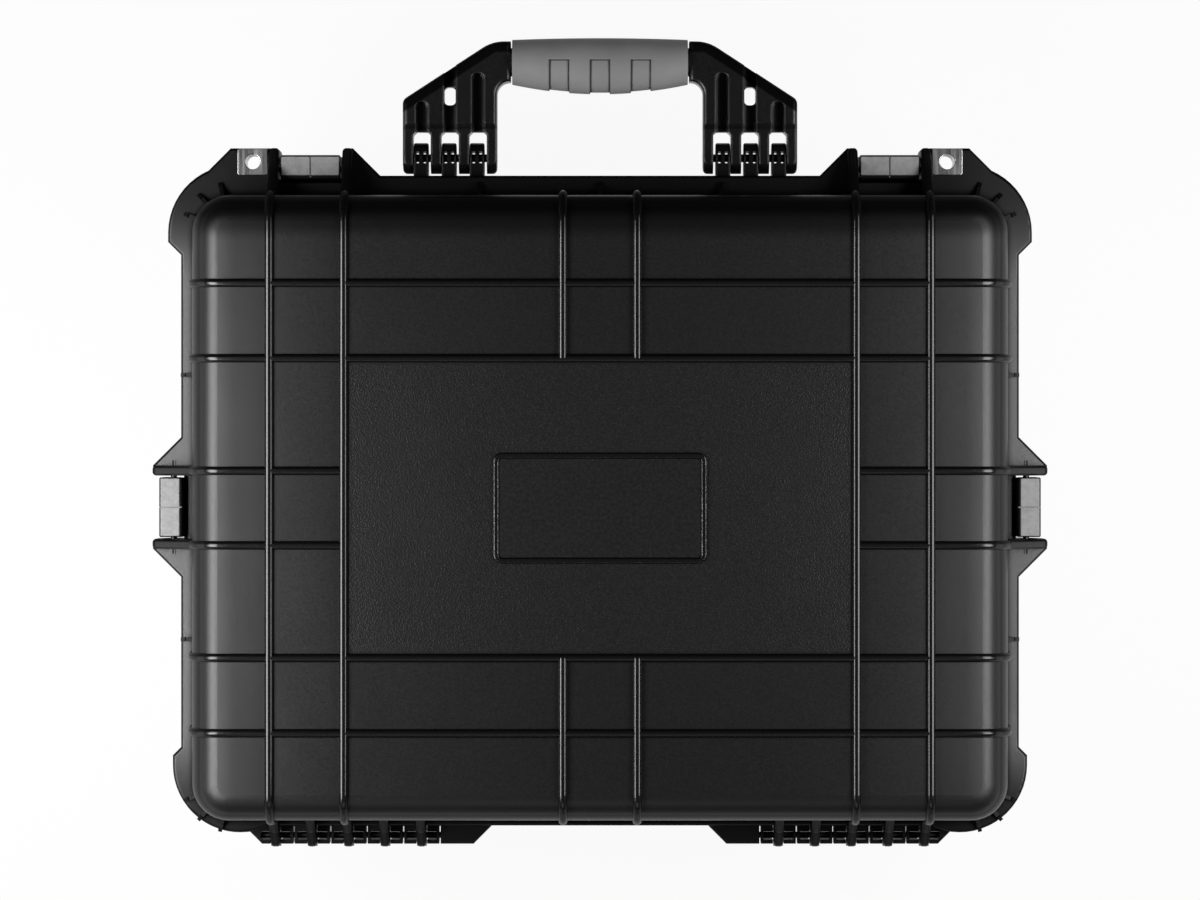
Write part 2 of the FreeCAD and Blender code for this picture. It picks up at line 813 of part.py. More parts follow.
def handle_arm():
    """Right arm of the handle, from its fingers on the pin to the neck that meets the grip."""
    top = grip_reach + neck_half
    foot = -handle_half_depth
    low = handle_z - handle_half_depth
    high = handle_z + handle_half_depth
    face = [(handle_arm_inner, foot), (handle_arm_outer, foot),
            (handle_arm_outer, handle_corner, handle_corner_round),
            (handle_arm_inner + handle_slope_run, top, handle_slope_round), (handle_neck_end, top),
            (handle_neck_end, grip_reach - neck_half),
            (handle_arm_inner, grip_reach - neck_half, neck_round)]
    profile = [(handle_y - foot, low, handle_half_depth), (handle_y - foot, high, handle_half_depth),
               (handle_y - top - overrun, high), (handle_y - top - overrun, low)]
    arm = prism(face, in_handle(low), Vector(0, 0, high - low))
    arm = arm.common(side_plate(profile, handle_arm_inner, 2 * handle_arm_outer))

    def on_face(edge):
        middle = edge.CenterOfMass
        on_level = abs(abs(middle.z - handle_z) - handle_half_depth) < tiny
        return on_level and edge.Vertexes[0].Y < handle_y + tiny and abs(middle.y - handle_y) > tiny

    arm = rounded(arm, handle_edge_round, on_face)
    reach = handle_half_depth + overrun
    cuts = [rod_across(handle_pin_radius + running_clearance, handle_arm_inner - overrun,
                       handle_arm_outer + overrun, handle_y, handle_z)]
    through = Vector(0, 0, 2 * reach)
    inner_top, outer_top = pocket_tops
    for finger, pocket_top in zip(finger_places(), (inner_top, top + overrun, outer_top)):
        left = finger + finger_width / 2
        right = left + finger_slot
        slot = [(left, foot - overrun), (right, foot - overrun), (right, slot_top, slot_corner),
                (left, slot_top, slot_corner)]
        cuts.append(prism(slot, in_handle(handle_z - reach), through))
        left += pocket_inset
        right -= pocket_inset
        groove = [(left, slot_top - overrun), (right, slot_top - overrun),
                  (right, pocket_top, pocket_corner), (left, pocket_top, pocket_corner)]
        for way in sides:
            floor = handle_z + way * (handle_half_depth - pocket_depth)
            cuts.append(prism(groove, in_handle(floor), Vector(0, 0, way * (pocket_depth + overrun))))
        if pocket_top > top:
            window = [(left, window_low, pocket_corner), (right, window_low, pocket_corner),
                      (right, window_high, pocket_corner), (left, window_high, pocket_corner)]
            cuts.append(prism(window, in_handle(handle_z - reach), through))
    for way in sides:
        shelf = handle_z + way * (handle_half_depth - handle_step)
        step = [(handle_arm_inner - overrun, foot - overrun), (handle_arm_outer + overrun, foot - overrun),
                (handle_arm_outer + overrun, handle_step_at), (handle_arm_inner - overrun, handle_step_at)]
        cuts.append(prism(step, in_handle(shelf), Vector(0, 0, way * (handle_step + overrun))))
    return arm.cut(cuts)


def handle_frame():
    """Both arms of the handle, joined by the core that the grip sits on."""
    arm = handle_arm()
    core = rod_across(grip_core, -(handle_neck_end + neck_round), handle_neck_end + neck_round,
                      handle_y - grip_reach, handle_z)
    return arm.fuse([mirrored(arm), core]).removeSplitter()


def grip_form(inset):
    """Barrel of the grip, fuller in the middle and towards the case."""
    wires = []
    for share in grip_section_shares:
        top = grip_mid_top + (grip_end_top - grip_mid_top) * share * share - inset
        bottom = grip_mid_bottom + (grip_end_bottom - grip_mid_bottom) * share * share + inset
        depth = grip_mid_half_depth + (grip_end_half_depth - grip_mid_half_depth) * share * share - inset
        center = Vector(share * grip_half, handle_y - (top + bottom) / 2, handle_z)
        high = center + Vector(0, -(top - bottom) / 2, 0)
        side = center + Vector(0, 0, depth)
        wires.append(Part.Wire(Part.Ellipse(high, side, center).toShape()))
    return Part.makeLoft(wires, True)


def handle_grip():
    """Soft grip with three shallow finger pads on the case's side."""
    core = grip_form(pad_depth)
    pads = []
    for x in (-pad_pitch, 0, pad_pitch):
        half_depth_z = grip_mid_half_depth + overrun
        pad = block(Vector(x - pad_width / 2, handle_y - pad_top, handle_z - half_depth_z),
                    Vector(x + pad_width / 2, handle_y, handle_z + half_depth_z))
        pads.append(pad.cut(core))
    bore = rod_across(grip_core + fixed_clearance, -(grip_half + overrun), grip_half + overrun,
                      handle_y - grip_reach, handle_z)
    return grip_form(0).cut(pads + [bore])


def valve_axis(out):
    """Point on the valve's axis, a distance outward from the shell's wall at the parting plane."""
    return Vector(0, -(half_depth + out), parting_z - valve_drop)


def valve_nodes():
    """Pressure valve: body through the front wall, seal under its head and nut inside."""
    seat = valve_boss_out
    head_in = seat + valve_seal_height
    head_out = head_in + valve_head
    nut_out = -(wall + valve_boss_in)
    nut_in = nut_out - valve_nut_height
    face_y = valve_axis(head_out).y
    head = rounded(rod(valve_radius, valve_axis(head_in), valve_axis(head_out)), valve_edge,
                   lambda edge: edge.Closed and abs(edge.CenterOfMass.y - face_y) < tiny)
    body = head.fuse(rod(valve_stem_radius, valve_axis(nut_in - valve_stem_past_nut), valve_axis(head_in)))
    cuts = [rod(valve_vent_radius, valve_axis(head_out - valve_vent_depth), valve_axis(head_out + overrun))]
    for index in range(valve_notch_count):
        angle = 2 * math.pi * index / valve_notch_count
        shift = Vector(math.cos(angle), 0, math.sin(angle)) * valve_radius
        notch_in = valve_axis(head_in - overrun) + shift
        notch_out = valve_axis(head_out + overrun) + shift
        cuts.append(rod(valve_notch_radius, notch_in, notch_out))
    seal = rod(valve_stem_radius + valve_seal_width, valve_axis(seat), valve_axis(head_in))
    bore_radius = valve_stem_radius + fixed_clearance
    bore = rod(bore_radius, valve_axis(nut_in - overrun), valve_axis(head_in + overrun))
    hexagon = []
    for index in range(nut_sides):
        angle = 2 * math.pi * index / nut_sides
        hexagon.append((valve_nut_radius * math.cos(angle), valve_nut_radius * math.sin(angle)))
    nut_face = valve_axis(nut_out)
    nut = prism(hexagon, lambda a, b: nut_face + Vector(a, 0, b), Vector(0, valve_nut_height, 0))
    return {"valve_body": body.cut(cuts), "valve_seal": seal.cut(bore), "valve_nut": nut.cut(bore)}


def lid_shell():
    """Lid: domed shell with ribs, rim, webs, latch ears, hinge knuckles and the name plate's frame."""
    rim_top = lid_floor + lid_rim
    shapes = [rim_plate(lid_floor, lid_rim, rim_top)]
    shapes += ribs(lid_floor, lid_top, lid_rim)
    shapes += corner_webs(rim_top, 1) + straight_webs(rim_top, 1) + lid_knuckles()
    for site in latch_sites:
        shapes += latch_ears(site, lid_ear_nose, lid_ear_height, parting_gap / 2)
    rise = Vector(0, 0, frame_height + overrun)
    half_x = frame_width / 2
    half_y = frame_depth / 2
    outside = prism(rectangle(half_x, half_y, frame_corner), in_plan(lid_top - overrun), rise)
    inside = rectangle(half_x - frame_bead, half_y - frame_bead, frame_corner - frame_bead)
    bead = outside.cut(prism(inside, in_plan(lid_top - overrun), rise))
    shapes.append(rounded_at(bead, frame_edge, lid_top + frame_height))
    solid = drafted_block(0, lid_floor, lid_top, 0).fuse(shapes)
    cuts = [drafted_block(wall, lid_floor, lid_top - wall, overrun),
            seal_ring(groove_width, lid_floor - overrun, lid_floor + groove_depth)]
    cuts += [latch_pin_bore(site, fixed_clearance) for site in latch_sites]
    for side in sides:
        cuts.append(hinge_pin(side, running_clearance))
    return solid.cut(cuts + padlock_bores()).removeSplitter()


def base_shell():
    """Base: deep shell with ribs, rim, latch ears, keepers, handle ears, hinges, valve boss and feet."""
    rim_low = base_top - base_rim
    shapes = [rim_plate(rim_low, base_rim, rim_low)]
    shapes += ribs(base_top, foot_height, base_rim) + corner_webs(rim_low, -1)
    slots = []
    for site in latch_sites:
        shapes += latch_ears(site, base_ear_nose, base_ear_height, -parting_gap / 2)
        shapes.append(keeper(site))
    for side in sides:
        hinge, openings = hinge_block(side)
        shapes.append(hinge)
        slots += openings
        shapes += handle_ears(side)
        for way in sides:
            middle_x = side * front_latch_x
            middle_y = way * (outer_cross_y + inner_cross_y) / 2
            corners = [(middle_x + a * foot_size / 2, middle_y + b * foot_size / 2, foot_corner)
                       for a, b in ((-1, -1), (1, -1), (1, 1), (-1, 1))]
            shapes.append(prism(corners, in_plan(0), Vector(0, 0, foot_height + overrun)))
    shapes.append(rod(valve_boss_radius, valve_axis(-wall), valve_axis(valve_boss_out)))
    shapes.append(seal_ring(tongue_width, base_top - overrun, base_top + tongue_height))
    solid = drafted_block(0, base_top, foot_height, 0).fuse(shapes)
    solid = solid.cut(drafted_block(wall, base_top, foot_height + wall, overrun))
    solid = solid.fuse(rod(valve_boss_radius, valve_axis(-(wall + valve_boss_in)), valve_axis(0)))
    cuts = slots + padlock_bores()
    for side in sides:
        cuts.append(handle_pin(side, fixed_clearance))
        cuts.append(hinge_pin(side, fixed_clearance))
    bore_radius = valve_stem_radius + fixed_clearance
    cuts.append(rod(bore_radius, valve_axis(-half_depth / 2), valve_axis(half_depth / 2)))
    return solid.cut(cuts).removeSplitter()


def foam_slab(z_rim, z_far, z_from, z_to):
    """Foam that fills a shell between two levels."""
    solid = drafted_block(wall + foam_clearance, z_rim, z_far, 0)
    keep = block(Vector(-shell_width, -shell_depth, z_from), Vector(shell_width, shell_depth, z_to))
    return solid.common(keep)


def foam_nodes():
    """Foam in the lid, and in the base a pad on the floor under a block with a pocket."""
    lid_far = lid_top - wall - foam_clearance
    base_far = foot_height + wall + foam_clearance
    pad_top_z = base_far + base_pad_height
    block_top = base_top - base_block_drop
    base_block = foam_slab(base_top, base_far, pad_top_z, block_top)
    pocket = block(Vector(-pocket_width / 2, -pocket_length / 2, pad_top_z - overrun),
                   Vector(pocket_width / 2, pocket_length / 2, block_top + overrun))
    reach = valve_boss_radius + foam_valve_gap
    inner = wall + valve_boss_in + valve_nut_height + valve_stem_past_nut + foam_valve_gap
    valve_room = block(valve_axis(overrun) - Vector(reach, 0, reach),
                       Vector(reach, -(half_depth - inner), block_top + overrun))
    return {
        "lid_foam": foam_slab(lid_floor, lid_far, lid_far - lid_foam_height, lid_far),
        "base_foam_pad": foam_slab(base_top, base_far, base_far, pad_top_z),
        "base_foam_block": base_block.cut([pocket, valve_room]),
    }


def all_nodes():
    """Every piece of the case by name, about the middle of the shells."""
    gasket_top = lid_floor + groove_depth
    plate = rectangle(frame_width / 2 - frame_bead - plate_gap, frame_depth / 2 - frame_bead - plate_gap,
                      frame_corner - frame_bead)
    nodes = {
        "base_shell": base_shell(),
        "lid_shell": lid_shell(),
        "lid_gasket": seal_ring(gasket_width, gasket_top - gasket_height, gasket_top),
        "name_plate": prism(plate, in_plan(lid_top), Vector(0, 0, plate_height)),
        "lid_padlock_plates": padlock_plates(lid_floor + lid_rim, lid_floor),
        "base_padlock_plates": padlock_plates(base_top - base_rim, base_top),
        "handle_frame": handle_frame(),
        "handle_grip": handle_grip(),
    }
    for name, side in (("left", -1), ("right", 1)):
        nodes["hinge_pin_" + name] = hinge_pin(side)
        nodes["handle_pin_" + name] = handle_pin(side)
    nodes.update(latch_nodes())
    nodes.update(valve_nodes())
    nodes.update(foam_nodes())
    return nodes


front_reach = handle_y - grip_mid_top
rear_reach = hinge_y + knuckle_radius
origin_shift = Vector(0, -(front_reach + rear_reach) / 2, 0)


def main():
    os.makedirs("parts", exist_ok=True)
    for name, shape in all_nodes().items():
        shape.translate(origin_shift)
        shape.exportStep(os.path.join("parts", name + ".step"))
        print(name, len(shape.Solids), shape.isValid(), round(shape.Volume))


if __name__ == "__main__":
    main()
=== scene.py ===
import json
import math

import bmesh
import bpy
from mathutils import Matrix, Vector


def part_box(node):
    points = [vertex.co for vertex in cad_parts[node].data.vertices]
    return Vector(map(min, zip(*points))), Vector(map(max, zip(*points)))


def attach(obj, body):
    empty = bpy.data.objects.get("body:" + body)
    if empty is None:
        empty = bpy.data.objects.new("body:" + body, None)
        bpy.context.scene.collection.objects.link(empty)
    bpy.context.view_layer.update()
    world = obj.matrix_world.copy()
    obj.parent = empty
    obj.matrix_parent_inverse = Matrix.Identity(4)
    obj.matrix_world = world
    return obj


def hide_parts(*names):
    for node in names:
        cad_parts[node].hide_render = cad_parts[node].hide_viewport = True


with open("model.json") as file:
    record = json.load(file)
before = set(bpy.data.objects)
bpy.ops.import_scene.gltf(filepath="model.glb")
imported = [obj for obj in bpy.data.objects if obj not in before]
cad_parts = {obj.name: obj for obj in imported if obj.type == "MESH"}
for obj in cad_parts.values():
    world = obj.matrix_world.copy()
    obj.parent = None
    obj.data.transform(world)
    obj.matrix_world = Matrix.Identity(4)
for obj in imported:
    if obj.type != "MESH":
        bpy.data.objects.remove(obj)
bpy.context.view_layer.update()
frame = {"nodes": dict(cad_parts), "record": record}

# A black protective hard case seen from straight above, with its handle towards the top of the picture.
# Metres, in the same frame as the solids: +X to the picture's left, +Y towards the hinges, +Z up.

nodes = frame["nodes"]

# Places on the shells, worked out from the solids
lid_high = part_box("lid_shell")[1]
plate_low, plate_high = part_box("name_plate")
latch_low, latch_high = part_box("front_right_latch_arm")
middle_y = (plate_low.y + plate_high.y) / 2
rib_pitch = 0.046
rib_width = 0.0054
inner_rib_x = (latch_low.x + latch_high.x) / 2 - rib_pitch / 2
inner_cross_y = 0.0925
half_width = 0.254
half_depth = 0.195
corner_radius = 0.024
parting_z = 0.158
rim_top = 0.169
rib_height = 0.003
panel_z = lid_high.z - rib_height

# Shell finish: the lid's faint crown and the rim's fall as bumps, and where painted shade makes the plastic
# darker and less shiny
crown_start = 0.165
crown_radius = 0.9
edge_start = 0.226
edge_radius = 0.2
rim_fall = 0.16
rim_end_fall = rim_fall / 4
rim_fall_start = half_depth - 0.07
rim_fall_end = half_depth - 0.01
level_edge = 0.001
panel_edge = 0.002
panel_drop = 0.0005
rib_root = 0.0003
# Where the shell's painted shade falls: the front shoulder, the wall's foot, the rim's ends and the base
shoulder_y = -0.176
shoulder_fade = 0.012
shoulder_low = rim_top + 0.006
shoulder_high = rim_top + 0.016
foot_shade = 0.006
wall_shade = 0.03
rim_end_start = half_depth - 0.05
base_shade_low = parting_z - 0.04
base_shade_high = parting_z - 0.015

# Places on the handle, from its pins' axis
grip_reach = 0.076
handle_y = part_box("handle_grip")[0].y + grip_reach
arm_outer = 0.1246
arm_corner = 0.0365
arm_top_x = 0.068
arm_top = 0.0734
slope_width = 0.0078
slope_edge = 0.0016
step_reach = 0.0192
step_half = 0.0022
handle_edge = 0.0022
pad_pitch = 0.0258
pad_half = 0.0062
pad_top = 0.0614
pad_line = 0.0008
pad_groove = 0.0006

# Camera: straight above the case, with the handle towards the top of the picture
camera_height = 2.943
camera_y = 0.0053
camera_lens = 132.6
camera_far = 100.0
sensor_width = 36.0


def make_camera():
    """Camera at the photograph's viewing angle."""
    data = bpy.data.cameras.new("camera")
    data.sensor_width = sensor_width
    data.lens = camera_lens
    data.clip_end = camera_far
    camera = bpy.data.objects.new("camera", data)
    camera.location = (0, camera_y, camera_height)
    camera.rotation_euler = (0, 0, math.pi)
    bpy.context.scene.collection.objects.link(camera)
    bpy.context.scene.camera = camera


# Lights: a strip box beside each side of the case, aimed at the near part of the lid, and a dim one behind
box_length = 0.58
box_width = 0.24
box_x = 0.52
box_z = 0.55
box_aim_x = 0.2
left_y = 0.04
left_power = 5.3
right_y = -0.05
right_power = 3.5
fill_length = 0.7
fill_width = 0.14
fill_y = 0.55
fill_z = 0.66
fill_power = 0.25


def soft_box(name, place, aim, size, power):
    """Soft box that faces a point, with its length level."""
    data = bpy.data.lights.new(name, "AREA")
    data.shape = "RECTANGLE"
    data.size, data.size_y = size
    data.energy = power
    light = bpy.data.objects.new(name, data)
    light.location = place
    light.rotation_euler = (Vector(aim) - Vector(place)).to_track_quat("-Z", "Y").to_euler()
    light.visible_camera = False
    bpy.context.scene.collection.objects.link(light)


def make_lights():
    """A strip box beside each side of the case, and a dim one behind it."""
    for name, side, y, power in (("left_box", 1, middle_y + left_y, left_power),
                                 ("right_box", -1, middle_y + right_y, right_power)):
        soft_box(name, (side * box_x, y, box_z), (side * box_aim_x, y, lid_high.z),
                 (box_length, box_width), power)
    soft_box("rear_box", (0, middle_y + fill_y, fill_z), (0, middle_y, lid_high.z),
             (fill_length, fill_width), fill_power)


# Stage: a white floor and a dim world
floor_size = 60.0
floor_drop = 0.0004
floor_grey = 0.8
white_strength = 1.0
white_share = 0.93
world_strength = 0.03


def make_stage():
    """Plain white floor that keeps the case's shadow, and a dim even world."""
    mesh = bpy.data.meshes.new("floor")
    half = floor_size / 2
    mesh.from_pydata([(-half, -half, -floor_drop), (half, -half, -floor_drop),
                      (half, half, -floor_drop), (-half, half, -floor_drop)], [], [(0, 1, 2, 3)])
    floor = bpy.data.objects.new("floor", mesh)
    bpy.context.scene.collection.objects.link(floor)

    material = bpy.data.materials.new("floor_white")
    material.use_nodes = True
    tree = material.node_tree
    tree.nodes.clear()
    output = tree.nodes.new("ShaderNodeOutputMaterial")
    mix = tree.nodes.new("ShaderNodeMixShader")
    paper = tree.nodes.new("ShaderNodeBsdfDiffuse")
    paper.inputs["Color"].default_value = (floor_grey, floor_grey, floor_grey, 1)
    white = tree.nodes.new("ShaderNodeEmission")
    white.inputs["Color"].default_value = (1, 1, 1, 1)
    white.inputs["Strength"].default_value = white_strength
    path = tree.nodes.new("ShaderNodeLightPath")
    seen = tree.nodes.new("ShaderNodeMath")
    seen.operation = "MAXIMUM"
    tree.links.new(path.outputs["Is Camera Ray"], seen.inputs[0])
    tree.links.new(path.outputs["Is Glossy Ray"], seen.inputs[1])
    through = tree.nodes.new("ShaderNodeMath")
    through.operation = "MAXIMUM"
    tree.links.new(seen.outputs[0], through.inputs[0])
    tree.links.new(path.outputs["Is Transmission Ray"], through.inputs[1])
    share = tree.nodes.new("ShaderNodeMath")
    share.operation = "MULTIPLY"
    share.inputs[1].default_value = white_share
    tree.links.new(through.outputs[0], share.inputs[0])
    tree.links.new(share.outputs[0], mix.inputs[0])
    tree.links.new(paper.outputs[0], mix.inputs[1])
    tree.links.new(white.outputs[0], mix.inputs[2])
    tree.links.new(mix.outputs[0], output.inputs["Surface"])
    mesh.materials.append(material)

    world = bpy.data.worlds.new("studio")
    world.use_nodes = True
    background = world.node_tree.nodes["Background"]
    background.inputs["Color"].default_value = (1, 1, 1, 1)
    background.inputs["Strength"].default_value = world_strength
    bpy.context.scene.world = world
    bpy.context.scene.view_settings.view_transform = "Standard"


# Materials: shares of noise between which a tint or a grain varies, and settings that several share
cloud_low_share = 0.35
cloud_high_share = 0.65
grain_low_share = 0.3
grain_high_share = 0.7
full_specular = 0.5
bevel_samples = 8
skin_cells = 2200.0
skin_depth = 0.00003


class Shader:
    """A node material with one Principled shader and helpers to wire textures into it."""

    def __init__(self, name, **constants):
        self.material = bpy.data.materials.new(name)
        self.material.use_nodes = True
        self.tree = self.material.node_tree
        self.surface = self.tree.nodes["Principled BSDF"]
        self.place = self.node("ShaderNodeTexCoord").outputs["Object"]
        self.normal = self.node("ShaderNodeTexCoord").outputs["Normal"]
        for socket, value in constants.items():
            self.surface.inputs[socket.replace("_", " ")].default_value = value

    def node(self, kind, **settings):
        """New node with its settings."""
        made = self.tree.nodes.new(kind)
        for name, value in settings.items():
            setattr(made, name, value)
        return made

    def wire(self, source, target):
        """Link from an output to an input."""
        self.tree.links.new(source, target)

    def noise(self, scale, detail=2.0, roughness=0.5, stretch=None):
        """Noise over the piece's own place, with a number of cells per metre."""
        made = self.node("ShaderNodeTexNoise")
        made.inputs["Scale"].default_value = scale
        made.inputs["Detail"].default_value = detail
        made.inputs["Roughness"].default_value = roughness
        place = self.place
        if stretch:
            mapping = self.node("ShaderNodeMapping")
            mapping.inputs["Scale"].default_value = stretch
            self.wire(place, mapping.inputs["Vector"])
            place = mapping.outputs["Vector"]
        self.wire(place, made.inputs["Vector"])
        return made.outputs["Fac"]

    def cells(self, scale, feature="SMOOTH_F1"):
        """Rounded cells over the piece's own place, with a number of cells per metre."""
        made = self.node("ShaderNodeTexVoronoi", feature=feature)
        made.inputs["Scale"].default_value = scale
        self.wire(self.place, made.inputs["Vector"])
        return made.outputs["Distance"]

    def math(self, operation, a, b=0.0):
        """Result of an operation on two values, each a number or an output."""
        made = self.node("ShaderNodeMath", operation=operation)
        for socket, value in zip(made.inputs, (a, b)):
            if isinstance(value, (int, float)):
                socket.default_value = value
            else:
                self.wire(value, socket)
        return made.outputs[0]

    def spread(self, value, from_low, from_high, to_low, to_high):
        """Value moved from one range to another, kept within it."""
        made = self.node("ShaderNodeMapRange", interpolation_type="SMOOTHSTEP")
        for socket, number in zip(("From Min", "From Max", "To Min", "To Max"),
                                  (from_low, from_high, to_low, to_high)):
            made.inputs[socket].default_value = number
        self.wire(value, made.inputs["Value"])
        return made.outputs["Result"]

    def cloud(self, scale, low, high):
        """Soft patches between two values, with a number of cells per metre."""
        return self.spread(self.noise(scale, 3.0), cloud_low_share, cloud_high_share, low, high)

    def grain(self, scale, low, high, detail=3.0):
        """Fine grain between two values, with a number of cells per metre."""
        return self.spread(self.noise(scale, detail), grain_low_share, grain_high_share, low, high)

    def rough(self, value):
        """Roughness from an output."""
        self.wire(value, self.surface.inputs["Roughness"])

    def shine(self, share):
        """Specular level from an output, as a share of the full one."""
        self.wire(self.math("MULTIPLY", share, full_specular), self.surface.inputs["Specular IOR Level"])

    def axis(self, source, name):
        """One of the X, Y and Z of a vector."""
        made = self.node("ShaderNodeSeparateXYZ")
        self.wire(source, made.inputs[0])
        return made.outputs[name]

    def tint(self, share, low, high):
        """Base colour between two colours."""
        made = self.node("ShaderNodeMix", data_type="RGBA")
        made.inputs["A"].default_value = (*low, 1)
        made.inputs["B"].default_value = (*high, 1)
        self.wire(share, made.inputs["Factor"])
        self.wire(made.outputs["Result"], self.surface.inputs["Base Color"])

    def rounded(self, radius):
        """Normal with the piece's sharp edges rounded to a radius in metres."""
        made = self.node("ShaderNodeBevel", samples=bevel_samples)
        made.inputs["Radius"].default_value = radius
        return made.outputs["Normal"]

    def bump(self, *layers, below=None):
        """Bumps, each a height and its depth in metres, one on top of the other."""
        for height, depth in layers:
            made = self.node("ShaderNodeBump")
            made.inputs["Distance"].default_value = depth
            self.wire(height, made.inputs["Height"])
            if below:
                self.wire(below, made.inputs["Normal"])
            below = made.outputs["Normal"]
        self.wire(below, self.surface.inputs["Normal"])


def near_band(shader, value, half, edge):
    """One where a value lies within a half width of zero, falling to zero over an edge."""
    size = shader.math("ABSOLUTE", value)
    return shader.spread(size, half - edge, half, 1.0, 0.0)


def past(shader, value, limit):
    """How far a value's size lies past a limit."""
    return shader.math("MAXIMUM", shader.math("SUBTRACT", shader.math("ABSOLUTE", value), limit), 0.0)


def from_wall(shader, x, y):
    """Distance outward from the rectangle on whose corners the lid's round corners are centred."""
    past_x = past(shader, x, half_width - corner_radius)
    past_y = past(shader, y, half_depth - corner_radius)
    square_x = shader.math("MULTIPLY", past_x, past_x)
    square_y = shader.math("MULTIPLY", past_y, past_y)
    return shader.math("SQRT", shader.math("ADD", square_x, square_y))


def arch(shader, value, start, radius):
    """Height of a surface that bends down past a start, in metres."""
    beyond = past(shader, value, start)
    return shader.math("MULTIPLY", shader.math("MULTIPLY", beyond, beyond), -1 / (2 * radius))


def soft_crown(shader, x, y, on_rim, outward):
    """Height of the lid's faint crown towards its sides and of the rim's outward fall, in metres."""
    crown = shader.math("ADD", arch(shader, x, crown_start, crown_radius),
                        arch(shader, x, edge_start, edge_radius))
    size_y = shader.math("ABSOLUTE", y)
    slope = shader.spread(size_y, rim_fall_start, rim_fall_end, -rim_fall, -rim_end_fall)
    fall = shader.math("MULTIPLY", outward, slope)
    above = shader.math("SUBTRACT", 1.0, on_rim)
    return shader.math("ADD", shader.math("MULTIPLY", crown, above), shader.math("MULTIPLY", fall, on_rim))


def upward_share(shader, normal_y, z):
    """Share of painted light left where the lid turns down into its walls: painted shade, darker towards
    their foot.
    """
    rearward_share = 0.12
    steep_facing = 0.66
    level_facing = 0.82
    foot_share = 0.06
    wall_share = 0.38
    rearward = shader.math("MULTIPLY", shader.math("MAXIMUM", normal_y, 0.0), rearward_share)
    facing = shader.math("ADD", shader.math("ABSOLUTE", shader.axis(shader.normal, "Z")), rearward)
    top = shader.spread(facing, steep_facing, level_facing, 0.0, 1.0)
    wall = shader.spread(z, rim_top, rim_top + wall_shade, foot_share, wall_share)
    return shader.math("MAXIMUM", top, wall)


def frontward_share(shader, normal_y, y, z):
    """Share of painted light left on the slopes that face the front: painted shade that makes them darker
    and less shiny.
    """
    steep_facing = -0.5
    level_facing = -0.01
    slope_share = 0.14
    upright_facing = -0.99
    leaning_facing = -0.9
    wall_share = 0.6
    shoulder_share = 0.35
    slope = shader.spread(normal_y, steep_facing, level_facing, slope_share, 1.0)
    front_wall = shader.spread(normal_y, upright_facing, leaning_facing, wall_share, 0.0)
    shaded = shader.spread(y, shoulder_y, shoulder_y + shoulder_fade, shoulder_share, 1.0)
    low = shader.spread(z, shoulder_low, shoulder_high, 1.0, 0.0)
    slope = shader.math("MULTIPLY", slope, shader.math("MAXIMUM", shaded, low))
    return shader.math("MAXIMUM", slope, front_wall)


def rim_share(shader, y, on_rim, outward):
    """Share of painted light left on the rim: painted shade beside the wall's foot and towards the rim's
    ends.
    """
    foot_share = 0.1
    end_share = 0.5
    foot = shader.spread(outward, corner_radius, corner_radius + foot_shade, foot_share, 1.0)
    rim_end = shader.spread(shader.math("ABSOLUTE", y), rim_end_start, half_depth, 1.0, end_share)
    above = shader.math("SUBTRACT", 1.0, on_rim)
    return shader.math("MAXIMUM", shader.math("MULTIPLY", foot, rim_end), above)


